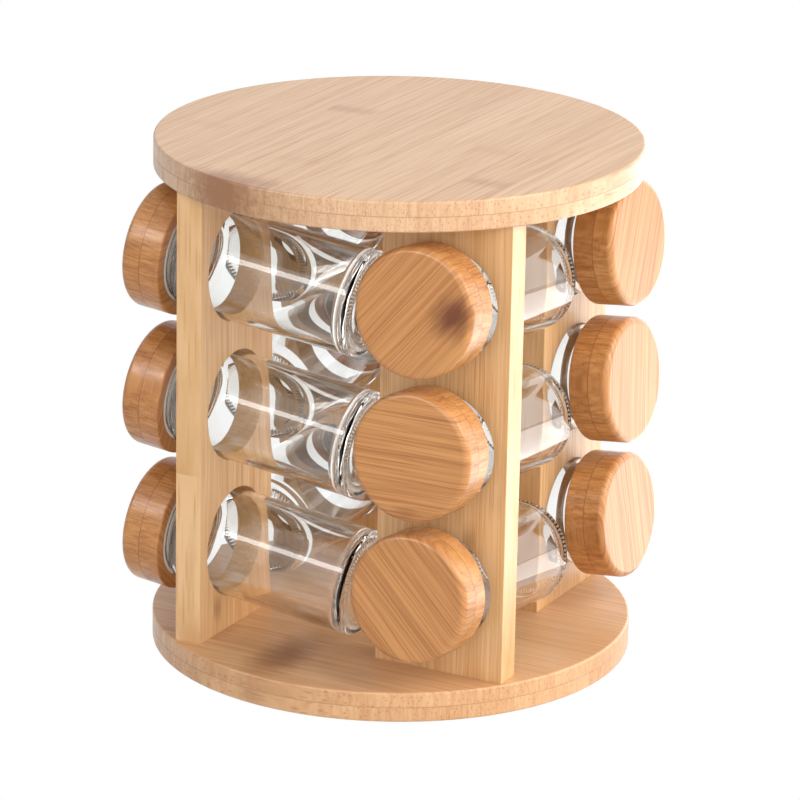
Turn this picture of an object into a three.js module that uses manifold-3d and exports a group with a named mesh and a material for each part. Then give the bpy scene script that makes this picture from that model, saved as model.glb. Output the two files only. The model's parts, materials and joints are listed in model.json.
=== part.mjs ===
// A revolving bamboo spice carousel: two round boards joined by four uprights set as a pinwheel, twelve glass jars
// lying in holes through the uprights, and a ball-bearing turntable under the lower board.
// Millimetres, +Z up. The origin is on the table surface under the turning axis. X and Y run along the uprights.
import * as THREE from "three";
import { mergeVertices } from "three/addons/utils/BufferGeometryUtils.js";
import Module from "manifold-3d";

const wasm = await Module();
wasm.setup();

// ---------------------------------------------------------------------------------------------------------------
// Driving dimensions
// ---------------------------------------------------------------------------------------------------------------

// Glass jar
const jarDiameter = 42;
const jarHeight = 90;
const jarWall = 2.2;
const jarBaseThickness = 4;
const jarHeelRadius = 2.8; // rounding between the side and the underside
const puntDepth = 1.2; // hollow in the underside
const neckStep = 3; // how far the neck lies inside the side wall
const neckHeight = 10.2;
const neckWall = 2.6;
const shoulderHeight = 3.5;

// Cap: a turned bamboo cup with a plastic threaded lining and a sealing disc
const lidOverhang = 4; // how far the lid stands out past the jar's side
const lidHeight = 17;
const lidEdgeRadius = 2.7;
const lidTopThickness = 5;
const liningWall = 1.1;
const sealThickness = 0.9;
const threadClearance = 0.5; // between the neck and the lining
const glueGap = 0.2; // between the lining and the bamboo
const contactGap = 0.1; // between pieces that touch

// Uprights
const boardThickness = 11;
const boardOffset = 54; // from the turning axis to an upright's outer face
const boardMargin = 5.5; // wood left beside a jar hole
const housingDepth = 4; // how far an upright's end is let into a round board
const housingClearance = 0.15;

// How the jars lie
const tierCount = 3;
const jarTilt = THREE.MathUtils.degToRad(6); // the lid's end is the higher one
const lidStandoff = 10; // from an upright's outer face to the lid's rim
const jarStopGap = 6; // from a jar's underside to the edge of the next upright
const tierGap = 6.5; // between the lids of two tiers
const endGap = 9.5; // between an outer tier's lids and a round board

// Round boards
const discThickness = 12;
const discEdgeRadius = 1;
const rimInset = 1; // from an upright's outer corner to the rim

// Turntable
const footHeight = 2;
const footInset = 0.5; // the rubber ring is narrower than the ring above it
const raceHeight = 5;
const raceWidth = 8;
const raceRadius = 55; // to the centres of the balls
const raceLift = 1; // the upper ring sits this much higher than the lower one
const ballRadius = 1.7;
const ballCount = 14;
const ballClearance = 0.15;
const grooveOpening = THREE.MathUtils.degToRad(60); // the grooves hold the balls this far up and down
const cageThickness = 1;
const cageHeight = 2.4;

// Facets around each kind of round piece
const discFacets = 60;
const ringFacets = 40;
const holeFacets = 32;
const lidFacets = 20;
const jarFacets = 18;
const innerFacets = 16;

// ---------------------------------------------------------------------------------------------------------------
// Sizes that follow
// ---------------------------------------------------------------------------------------------------------------

const jarRadius = jarDiameter / 2;
const neckRadius = jarRadius - neckStep;
const lidRadius = jarRadius + lidOverhang;
const liningRadius = neckRadius + threadClearance + liningWall; // outside of the lining
const boreRadius = (liningRadius + glueGap) / Math.cos(Math.PI / lidFacets); // the facets' flats clear the lining

// Heights along a jar's own axis, from its underside
const mouthHeight = jarHeight;
const sealBottom = mouthHeight + contactGap;
const sealTop = sealBottom + sealThickness;
const liningTopInside = sealTop + contactGap;
const liningTop = liningTopInside + liningWall;
const boreFloor = liningTop + contactGap;
const lidFace = boreFloor + lidTopThickness;
const lidRim = lidFace - lidHeight;
const neckBase = mouthHeight - neckHeight;
const bodyTop = neckBase - shoulderHeight;

// A tilted jar just rests in its hole
const restClearance = 0.2;
const holeRadius =
  (jarRadius / Math.cos(jarTilt) + (boardThickness / 2) * Math.tan(jarTilt) + restClearance) /
  Math.cos(Math.PI / holeFacets);
const jarDepth = lidRim - lidStandoff; // from an upright's outer face to the jar's underside

const boardWidth = 2 * (holeRadius + boardMargin);
const boardInnerEdge = jarDepth + jarStopGap - boardOffset;
const boardOuterEdge = boardInnerEdge + boardWidth;
const jarLine = boardInnerEdge + boardWidth / 2; // jar axis, measured along the upright
const discRadius = Math.hypot(boardOuterEdge, boardOffset) + rimInset;

const tierPitch = 2 * lidRadius + tierGap;
const boardSpan = (tierCount - 1) * tierPitch + 2 * (lidRadius + endGap);

const baseBottom = footHeight + raceHeight + raceLift;
const baseTop = baseBottom + discThickness;
const topBottom = baseTop + boardSpan;

// ---------------------------------------------------------------------------------------------------------------
// Finishes
// ---------------------------------------------------------------------------------------------------------------

const finish = {
  bambooBoard: new THREE.MeshStandardMaterial({ color: 0xd9b184, roughness: 0.55, metalness: 0 }),
  bambooUpright: new THREE.MeshStandardMaterial({ color: 0xd3a066, roughness: 0.55, metalness: 0 }),
  bambooLid: new THREE.MeshStandardMaterial({ color: 0xc88a52, roughness: 0.4, metalness: 0 }),
  glass: new THREE.MeshStandardMaterial({
    color: 0xe8efec,
    roughness: 0.05,
    metalness: 0,
    transparent: true,
    opacity: 0.35,
  }),
  whitePlastic: new THREE.MeshStandardMaterial({ color: 0xf2f1ec, roughness: 0.45, metalness: 0 }),
  sealFoam: new THREE.MeshStandardMaterial({ color: 0xe6e6e2, roughness: 0.8, metalness: 0 }),
  steel: new THREE.MeshStandardMaterial({ color: 0xb9bcc0, roughness: 0.35, metalness: 1 }),
  rubber: new THREE.MeshStandardMaterial({ color: 0x26262a, roughness: 0.85, metalness: 0 }),
};

// ---------------------------------------------------------------------------------------------------------------
// Shape helpers
// ---------------------------------------------------------------------------------------------------------------

// A solid of revolution about Z. The profile is a list of [radius, height], ordered so that the solid is on its left.
function turned(profile, facets) {
  const points = profile.map(([radius, height]) => new THREE.Vector2(radius, height));
  return new THREE.LatheGeometry(points, facets).rotateX(Math.PI / 2);
}

// A ring whose section is a closed outline.
function turnedRing(section, facets) {
  return turned([...section, section[0]], facets);
}

function block(sizeX, sizeY, sizeZ, x, y, z) {
  return new THREE.BoxGeometry(sizeX, sizeY, sizeZ).translate(x, y, z);
}

function toSolid(geometry) {
  const bare = geometry.clone();
  bare.deleteAttribute("normal");
  bare.deleteAttribute("uv");
  const merged = mergeVertices(bare, 1e-4);
  return new wasm.Manifold(
    new wasm.Mesh({
      numProp: 3,
      vertProperties: new Float32Array(merged.attributes.position.array),
      triVerts: new Uint32Array(merged.index.array),
    }),
  );
}

function toGeometry(solid) {
  const mesh = solid.getMesh();
  const positions = new Float32Array(mesh.numVert * 3);
  for (let i = 0; i < mesh.numVert; i++) {
    positions.set(mesh.vertProperties.subarray(i * mesh.numProp, i * mesh.numProp + 3), i * 3);
  }
  return new THREE.BufferGeometry()
    .setAttribute("position", new THREE.BufferAttribute(positions, 3))
    .setIndex(new THREE.BufferAttribute(mesh.triVerts, 1));
}

function cut(geometry, cutters) {
  return toGeometry(cutters.reduce((solid, cutter) => solid.subtract(toSolid(cutter)), toSolid(geometry)));
}

function joined(geometries) {
  return toGeometry(geometries.map(toSolid).reduce((all, solid) => all.add(solid)));
}

function named(name, geometry, material) {
  const mesh = new THREE.Mesh(geometry, material);
  mesh.name = name;
  return mesh;
}

// ---------------------------------------------------------------------------------------------------------------
// Round boards and uprights
// ---------------------------------------------------------------------------------------------------------------

// The four uprights are one upright turned by quarter turns, which makes the pinwheel.
const sides = [
  { name: "front", turn: 0 },
  { name: "right", turn: Math.PI / 2 },
  { name: "back", turn: Math.PI },
  { name: "left", turn: -Math.PI / 2 },
];
const boardMiddleX = (boardInnerEdge + boardOuterEdge) / 2;
const boardMiddleY = -boardOffset + boardThickness / 2;

// A round board with a housing for each upright's end. pocketZ is the middle height of the housings' cutters.
function roundBoard(pocketZ) {
  const soft = discEdgeRadius;
  const plain = turned(
    [
      [0, 0],
      [discRadius - soft, 0],
      [discRadius, soft],
      [discRadius, discThickness - soft],
      [discRadius - soft, discThickness],
      [0, discThickness],
    ],
    discFacets,
  );
  const pockets = sides.map(({ turn }) =>
    block(
      boardWidth + 2 * housingClearance,
      boardThickness + 2 * housingClearance,
      2 * (housingDepth + contactGap),
      boardMiddleX,
      boardMiddleY,
      pocketZ,
    ).rotateZ(turn),
  );
  return cut(plain, pockets);
}

function baseDisc() {
  const mesh = named("base_disc", roundBoard(discThickness), finish.bambooBoard);
  mesh.position.z = baseBottom;
  return mesh;
}

function topDisc() {
  const mesh = named("top_disc", roundBoard(0), finish.bambooBoard);
  mesh.position.z = topBottom;
  return mesh;
}

const tierHeights = Array.from({ length: tierCount }, (_, tier) => baseTop + endGap + lidRadius + tier * tierPitch);

// The front upright, with one hole for each tier.
function uprightShape() {
  const length = boardSpan + 2 * housingDepth;
  const plain = block(boardWidth, boardThickness, length, boardMiddleX, boardMiddleY, baseTop + boardSpan / 2);
  const holes = tierHeights.map((height) =>
    new THREE.CylinderGeometry(holeRadius, holeRadius, 2 * boardThickness, holeFacets).translate(
      jarLine,
      boardMiddleY,
      height,
    ),
  );
  return cut(plain, holes);
}

function uprights() {
  const shape = uprightShape();
  return sides.map(({ name, turn }) => {
    const mesh = named(`upright_${name}`, shape, finish.bambooUpright);
    mesh.rotation.z = turn;
    return mesh;
  });
}

// ---------------------------------------------------------------------------------------------------------------
// Jars and caps, each built standing on Z with the jar's underside at zero
// ---------------------------------------------------------------------------------------------------------------

function jarShape() {
  const inside = jarRadius - jarWall;
  const mouth = neckRadius - neckWall;
  const heel = jarHeelRadius;
  return turned(
    [
      [0, puntDepth],
      [jarRadius - 2 * heel, 0],
      [jarRadius - heel, 0],
      [jarRadius - 0.3 * heel, 0.3 * heel],
      [jarRadius, heel],
      [jarRadius, bodyTop],
      [jarRadius - 0.3 * neckStep, bodyTop + 0.7 * shoulderHeight],
      [neckRadius, neckBase],
      [neckRadius, mouthHeight],
      [mouth, mouthHeight],
      [mouth, neckBase],
      [inside, bodyTop - jarWall / 2],
      [inside, jarBaseThickness + jarWall],
      [inside - jarWall, jarBaseThickness],
      [0, jarBaseThickness],
    ],
    jarFacets,
  );
}

function sealShape() {
  return turned(
    [
      [0, sealBottom],
      [neckRadius, sealBottom],
      [neckRadius, sealTop],
      [0, sealTop],
    ],
    innerFacets,
  );
}

function liningShape() {
  const inside = (neckRadius + threadClearance) / Math.cos(Math.PI / innerFacets);
  const rim = lidRim + contactGap;
  return turned(
    [
      [0, liningTopInside],
      [inside, liningTopInside],
      [inside, rim],
      [liningRadius, rim],
      [liningRadius, liningTop],
      [0, liningTop],
    ],
    innerFacets,
  );
}

function lidShape() {
  const edge = lidEdgeRadius;
  return turned(
    [
      [0, boreFloor],
      [boreRadius, boreFloor],
      [boreRadius, lidRim],
      [lidRadius, lidRim],
      [lidRadius, lidFace - edge],
      [lidRadius - 0.3 * edge, lidFace - 0.3 * edge],
      [lidRadius - edge, lidFace],
      [0, lidFace],
    ],
    lidFacets,
  );
}

const jarPieces = [
  { name: "jar", shape: jarShape(), material: finish.glass },
  { name: "seal", shape: sealShape(), material: finish.sealFoam },
  { name: "lining", shape: liningShape(), material: finish.whitePlastic },
  { name: "lid", shape: lidShape(), material: finish.bambooLid },
];

// A jar with its cap. The group's origin is where the jar's axis crosses the middle of the upright, and the axis
// leans outwards and up from there.
function jarWithCap(sideName, tierName) {
  const pivot = jarDepth - boardThickness / 2; // height on the jar's axis of the point inside the hole
  const group = new THREE.Group();
  for (const { name, shape, material } of jarPieces) {
    const mesh = named(`${name}_${sideName}_${tierName}`, shape, material);
    mesh.position.z = -pivot;
    group.add(mesh);
  }
  return group;
}

const tierNames = ["bottom", "middle", "top"];

function allJars() {
  return sides.map(({ name, turn }) => {
    const column = new THREE.Group();
    column.rotation.z = turn;
    tierHeights.forEach((height, tier) => {
      const jar = jarWithCap(name, tierNames[tier] ?? `tier${tier + 1}`);
      jar.position.set(jarLine, boardMiddleY, height);
      jar.rotation.x = Math.PI / 2 - jarTilt;
      column.add(jar);
    });
    return column;
  });
}

// ---------------------------------------------------------------------------------------------------------------
// Turntable
// ---------------------------------------------------------------------------------------------------------------

const lowerRaceBottom = footHeight;
const upperRaceBottom = baseBottom - raceHeight;
const ballHeight = (lowerRaceBottom + baseBottom) / 2;
const grooveSteps = 3;
const grooveReach = (ballRadius + ballClearance) / Math.cos(grooveOpening / grooveSteps); // to the groove's corners
const raceGap = 2 * grooveReach * Math.cos(grooveOpening); // between the two rings
const upperRaceRadius = raceRadius / Math.cos(Math.PI / ringFacets); // the facets' flats clear the balls
const lowerRaceOuter = raceRadius - raceGap / 2;
const lowerRaceInner = lowerRaceOuter - raceWidth;
const upperRaceInner = upperRaceRadius + raceGap / 2;
const upperRaceOuter = upperRaceInner + raceWidth;

// The corners of a groove around the balls. It opens inwards for side 1 and outwards for side -1.
function groove(centreRadius, side) {
  return Array.from({ length: grooveSteps + 1 }, (_, i) => {
    const angle = side * grooveOpening * (1 - (2 * i) / grooveSteps);
    return [centreRadius + side * grooveReach * Math.cos(angle), ballHeight + grooveReach * Math.sin(angle)];
  });
}

function footRing() {
  const inner = lowerRaceInner + footInset;
  const outer = lowerRaceOuter - footInset;
  const section = [
    [inner, 0],
    [outer, 0],
    [outer, footHeight - contactGap],
    [inner, footHeight - contactGap],
  ];
  return named("foot_ring", turnedRing(section, ringFacets), finish.rubber);
}

// The lower ring has its ball groove outside, and the upper ring has it inside.
function lowerRace() {
  const top = lowerRaceBottom + raceHeight;
  const section = [
    [lowerRaceInner, lowerRaceBottom],
    [lowerRaceOuter, lowerRaceBottom],
    ...groove(raceRadius, -1),
    [lowerRaceOuter, top],
    [lowerRaceInner, top],
  ];
  return named("bearing_lower_ring", turnedRing(section, ringFacets), finish.steel);
}

function upperRace() {
  const top = baseBottom - contactGap;
  const section = [
    [upperRaceOuter, upperRaceBottom],
    [upperRaceOuter, top],
    [upperRaceInner, top],
    ...groove(upperRaceRadius, 1),
    [upperRaceInner, upperRaceBottom],
  ];
  return named("bearing_upper_ring", turnedRing(section, ringFacets), finish.steel);
}

// The balls sit in a thin band, which is one piece with them here.
function ballCage() {
  const inner = raceRadius - cageThickness / 2;
  const outer = raceRadius + cageThickness / 2;
  const low = ballHeight - cageHeight / 2;
  const high = ballHeight + cageHeight / 2;
  const band = turnedRing(
    [
      [inner, low],
      [outer, low],
      [outer, high],
      [inner, high],
    ],
    ringFacets,
  );
  const balls = Array.from({ length: ballCount }, (_, i) => {
    const angle = (2 * Math.PI * (i + 0.5)) / ballCount;
    return new THREE.IcosahedronGeometry(ballRadius, 1).translate(
      raceRadius * Math.cos(angle),
      raceRadius * Math.sin(angle),
      ballHeight,
    );
  });
  return named("bearing_ball_cage", joined([band, ...balls]), finish.steel);
}

// ---------------------------------------------------------------------------------------------------------------
// The carousel
// ---------------------------------------------------------------------------------------------------------------

const carousel = new THREE.Group();
carousel.add(footRing(), lowerRace(), ballCage(), upperRace());
carousel.add(baseDisc(), ...uprights(), topDisc(), ...allJars());

export default carousel;
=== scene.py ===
"""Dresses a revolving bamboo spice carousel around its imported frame.

The carousel is a round base board and top board joined by four uprights set as a pinwheel. Twelve
glass jars with bamboo screw caps lie in holes through the uprights, and a ring bearing under the
base lets the whole rack turn. Lengths are in metres in the frame's own axes, with +Z up, unless a
docstring or a comment says millimetres.
"""

from __future__ import annotations

import json
import logging
import math
from collections.abc import Sequence
from dataclasses import dataclass, field
from enum import Enum

import bpy
import numpy as np
from mathutils import Matrix, Vector

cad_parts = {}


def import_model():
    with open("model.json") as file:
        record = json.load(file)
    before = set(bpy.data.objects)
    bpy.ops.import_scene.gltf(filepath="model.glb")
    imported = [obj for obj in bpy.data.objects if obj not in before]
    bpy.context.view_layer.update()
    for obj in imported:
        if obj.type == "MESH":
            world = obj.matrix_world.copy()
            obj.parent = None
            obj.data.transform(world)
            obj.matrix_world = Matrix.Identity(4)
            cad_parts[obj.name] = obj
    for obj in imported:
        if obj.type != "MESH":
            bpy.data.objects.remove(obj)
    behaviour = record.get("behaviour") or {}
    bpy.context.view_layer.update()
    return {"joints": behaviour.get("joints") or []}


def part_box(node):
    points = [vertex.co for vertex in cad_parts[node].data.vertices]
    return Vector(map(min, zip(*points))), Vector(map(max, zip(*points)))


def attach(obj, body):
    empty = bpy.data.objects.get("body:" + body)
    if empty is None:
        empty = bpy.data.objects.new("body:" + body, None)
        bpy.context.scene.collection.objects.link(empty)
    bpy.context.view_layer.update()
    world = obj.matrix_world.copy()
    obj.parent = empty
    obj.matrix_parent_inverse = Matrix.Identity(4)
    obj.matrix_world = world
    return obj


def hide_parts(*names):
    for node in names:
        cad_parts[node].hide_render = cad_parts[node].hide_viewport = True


log = logging.getLogger("carousel")

MM = 0.001
Colour = tuple[float, float, float]
Profile = list[tuple[float, float]]

GRAIN = "grain"  # place in the timber: along the fibres, across them, and through the plies
KNOT = "knot"  # where the piece's one dark knot is, in the same terms
SHADE_WARMTH_ATTR = "shade_warmth"  # how much painted shade the piece has, as a warmer tint that stands for shade and bounced light
NO_KNOT = Vector((10.0, 10.0, 10.0))  # far outside any piece
SHADE_WARM_TINT = (1.0, 0.91, 0.78)  # what full painted shade multiplies the timber's colour by
TRAPPED_DEPTH = 5.5  # a ray that has met more surfaces than this goes straight on through glass
ON_AXIS = 1e-7  # a radius smaller than this counts as none


# ------------------------------------------------------------------------------------------------
# Named options
# ------------------------------------------------------------------------------------------------


class Side(Enum):
    """The four sides of the rack, with the turn about Z that brings the front one there."""

    FRONT = ("front", 0.0)
    RIGHT = ("right", math.pi / 2)
    BACK = ("back", math.pi)
    LEFT = ("left", -math.pi / 2)

    @property
    def label(self) -> str:
        """The side's name in the frame's node names."""
        return self.value[0]

    @property
    def turn(self) -> Matrix:
        """The rotation about Z from the front side to this one."""
        return Matrix.Rotation(self.value[1], 4, "Z")


class Tier(Enum):
    """The three jars on one upright."""

    BOTTOM = "bottom"
    MIDDLE = "middle"
    TOP = "top"


# ------------------------------------------------------------------------------------------------
# Meshes
# ------------------------------------------------------------------------------------------------


@dataclass
class Shape:
    """A polygon shape before it becomes a mesh.

    Args:
        points: The vertices.
        faces: Vertex numbers of each face, with the outside seen anticlockwise.
    """

    points: list[Vector]
    faces: list[tuple[int, ...]]

    def placed(self, matrix: Matrix) -> Shape:
        """Gives the shape moved by a matrix.

        Args:
            matrix: The placement.

        Returns:
            A moved copy.
        """
        return Shape([matrix @ p for p in self.points], self.faces)

    def mesh(self, name: str) -> bpy.types.Mesh:
        """Makes the Blender mesh.

        Args:
            name: The mesh's name.

        Returns:
            The mesh, with smooth faces and sharp edges where the surface turns abruptly.
        """
        mesh = bpy.data.meshes.new(name)
        mesh.from_pydata(self.points, [], self.faces)
        smooth(mesh)
        return mesh


def smooth(mesh: bpy.types.Mesh, angle: float = math.radians(32)) -> None:
    """Shades a mesh smooth and keeps its corners.

    Args:
        mesh: The mesh to shade.
        angle: Edges that turn by more than this stay sharp.
    """
    mesh.shade_smooth()
    mesh.set_sharp_from_angle(angle=angle)


def arc(
    centre: tuple[float, float], radius: float, start: float, end: float, steps: int = 6
) -> Profile:
    """Gives points along a circular arc of a profile.

    Args:
        centre: The arc's centre, as radius and height.
        radius: The arc's radius.
        start: The first point's angle in degrees, anticlockwise from outwards.
        end: The last point's angle.
        steps: How many straight stretches stand for the arc.

    Returns:
        The points, both ends included.
    """
    angles = [math.radians(start + (end - start) * i / steps) for i in range(steps + 1)]
    return [(centre[0] + radius * math.cos(a), centre[1] + radius * math.sin(a)) for a in angles]


def supported(profile: Profile, margin: float) -> Profile:
    """Adds a point near each end of every long stretch, so that flats stay flat in smooth shading.

    Args:
        profile: The outline.
        margin: How far from a stretch's ends the new points are.

    Returns:
        The outline with the points added.
    """
    result = [profile[0]]
    for (r0, z0), (r1, z1) in zip(profile, profile[1:]):
        length = math.hypot(r1 - r0, z1 - z0)
        if length > 4 * margin:
            for t in (margin / length, 1 - margin / length):
                result.append((r0 + (r1 - r0) * t, z0 + (z1 - z0) * t))
        result.append((r1, z1))
    return result


def turned(profile: Profile, segments: int, margin: float = 0.25 * MM) -> Shape:
    """Turns a profile about Z.

    Args:
        profile: Radius and height of each point, running anticlockwise round the solid's section.
            It starts and ends on the axis, or its last point is its first.
        segments: Facets around.
        margin: How close to its ends a long stretch gets its extra points.

    Returns:
        The closed shape.
    """
    outline = supported(profile, margin)
    ring_is_closed = outline[0] == outline[-1]
    if ring_is_closed:
        outline = outline[:-1]
    points: list[Vector] = []
    rows: list[list[int]] = []
    for radius, height in outline:
        if radius < ON_AXIS:
            rows.append([len(points)] * segments)
            points.append(Vector((0, 0, height)))
            continue
        rows.append(list(range(len(points), len(points) + segments)))
        for i in range(segments):
            a = 2 * math.pi * i / segments
            points.append(Vector((radius * math.cos(a), radius * math.sin(a), height)))
    pairs = list(zip(rows, rows[1:]))
    if ring_is_closed:
        pairs.append((rows[-1], rows[0]))
    faces: list[tuple[int, ...]] = []
    for low, high in pairs:
        for i in range(segments):
            j = (i + 1) % segments
            corners = (low[i], low[j], high[j], high[i])
            face = tuple(dict.fromkeys(corners))
            if len(face) > 2:
                faces.append(face)
    return Shape(points, faces)


def box_shape(low: Vector, high: Vector) -> Shape:
    """Makes a box between two corners.

    Args:
        low: The lowest corner.
        high: The highest corner.

    Returns:
        The box.
    """
    ends = (low, high)
    corners = [Vector((a.x, b.y, c.z)) for c in ends for b in ends for a in ends]
    faces = [(0, 2, 3, 1), (4, 5, 7, 6), (0, 1, 5, 4), (2, 6, 7, 3), (0, 4, 6, 2), (1, 3, 7, 5)]
    return Shape(corners, faces)


def put_in_scene(name: str, mesh: bpy.types.Mesh) -> bpy.types.Object:
    """Adds an object for a mesh.

    Args:
        name: The object's name.
        mesh: Its mesh.

    Returns:
        The object, at the origin.
    """
    made = bpy.data.objects.new(name, mesh)
    bpy.context.scene.collection.objects.link(made)
    return made


def baked(source: bpy.types.Object, name: str) -> bpy.types.Mesh:
    """Gives an object's mesh with its modifiers applied, and removes the object.

    Args:
        source: The object with modifiers.
        name: The new mesh's name.

    Returns:
        The plain mesh.
    """
    graph = bpy.context.evaluated_depsgraph_get()
    mesh = bpy.data.meshes.new_from_object(
        source.evaluated_get(graph), preserve_all_data_layers=True, depsgraph=graph
    )
    mesh.name = name
    old = source.data
    bpy.data.objects.remove(source)
    bpy.data.meshes.remove(old)
    return mesh


def carved(name: str, body: Shape, cutters: Sequence[Shape], edge: float) -> bpy.types.Mesh:
    """Cuts shapes out of another and eases the sharp edges.

    Args:
        name: The new mesh's name.
        body: What is cut.
        cutters: What is taken away.
        edge: The width of the eased edges.

    Returns:
        The cut mesh.
    """
    work = put_in_scene(name + "_work", body.mesh(name + "_work"))
    tools = [put_in_scene(f"{name}_tool{i}", c.mesh(f"{name}_tool{i}")) for i, c in enumerate(cutters)]
    for tool in tools:
        cut = work.modifiers.new("cut", "BOOLEAN")
        cut.operation = "DIFFERENCE"
        cut.solver = "EXACT"
        cut.object = tool
    bevel = work.modifiers.new("ease", "BEVEL")
    bevel.width = edge
    bevel.segments = 3
    bevel.limit_method = "ANGLE"
    bevel.angle_limit = math.radians(50)
    bevel.use_clamp_overlap = True
    normals = work.modifiers.new("normals", "WEIGHTED_NORMAL")
    normals.keep_sharp = False
    mesh = baked(work, name)
    for tool in tools:
        data = tool.data
        bpy.data.objects.remove(tool)
        bpy.data.meshes.remove(data)
    return mesh


def write_timber(
    mesh: bpy.types.Mesh, to_grain: Matrix, knot: Vector = NO_KNOT, shade_warmth: float = 0.0
) -> None:
    """Stores each vertex's place in the timber that a bamboo piece is cut from.

    Args:
        mesh: The piece's mesh, in the frame's axes.
        to_grain: Takes a point of the frame to its place along, across and through the timber.
        knot: Where the knot is, along, across and through the timber.
        shade_warmth: How much painted shade warms the piece's colour, 0 to 1.
    """
    count = len(mesh.vertices)
    flat = np.empty(count * 3)
    mesh.vertices.foreach_get("co", flat)
    turn = np.array(to_grain.to_3x3())
    places = flat.reshape(-1, 3) @ turn.T + np.array(to_grain.translation)
    knots = np.tile(np.array(knot), (count, 1))
    for name, values in ((GRAIN, places), (KNOT, knots), (SHADE_WARMTH_ATTR, np.full((count, 3), shade_warmth))):
        layer = mesh.attributes.new(name, "FLOAT_VECTOR", "POINT")
        layer.data.foreach_set("vector", values.ravel())


def finish_piece(
    piece: bpy.types.Object,
    body: str,
    material: bpy.types.Material | None,
    nodes: Sequence[str] = (),
) -> None:
    """Dresses a piece and ties it to the frame.

    Args:
        piece: The finished object.
        body: The frame's body that it moves with.
        material: Its material, or None where the mesh already has one.
        nodes: The frame's nodes that it stands for.
    """
    if material is not None:
        piece.data.materials.clear()
        piece.data.materials.append(material)
    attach(piece, body)
    if nodes:
        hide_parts(*nodes)
    log.info("%s rides on %s, %d faces", piece.name, body, len(piece.data.polygons))


# ------------------------------------------------------------------------------------------------
# Node trees
# ------------------------------------------------------------------------------------------------


class TreeWriter:
    """What the writers of shader nodes and of geometry nodes have in common."""

    tree: bpy.types.NodeTree

    def put(self, socket: bpy.types.NodeSocket, value: object) -> None:
        """Links a socket to a node or to another socket, or sets its value.

        Args:
            socket: The input.
            value: A node, an output socket, a number or a tuple.
        """
        if isinstance(value, bpy.types.Node):
            value = value.outputs[0]
        if isinstance(value, bpy.types.NodeSocket):
            self.tree.links.new(value, socket)
        else:
            socket.default_value = value

    def math(self, operation: str, *values: object, clamp: bool = False) -> bpy.types.NodeSocket:
        """Adds a Math node.

        Args:
            operation: The node's operation.
            values: Its inputs.
            clamp: Whether the result is kept between 0 and 1.

        Returns:
            Its output.
        """
        node = self.tree.nodes.new("ShaderNodeMath")
        node.operation = operation
        node.use_clamp = clamp
        for socket, value in zip(node.inputs, values):
            self.put(socket, value)
        return node.outputs[0]

    def join(self, x: object = 0.0, y: object = 0.0, z: object = 0.0) -> bpy.types.NodeSocket:
        """Joins three numbers into a vector."""
        node = self.tree.nodes.new("ShaderNodeCombineXYZ")
        for socket, value in zip(node.inputs, (x, y, z)):
            self.put(socket, value)
        return node.outputs[0]


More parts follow.
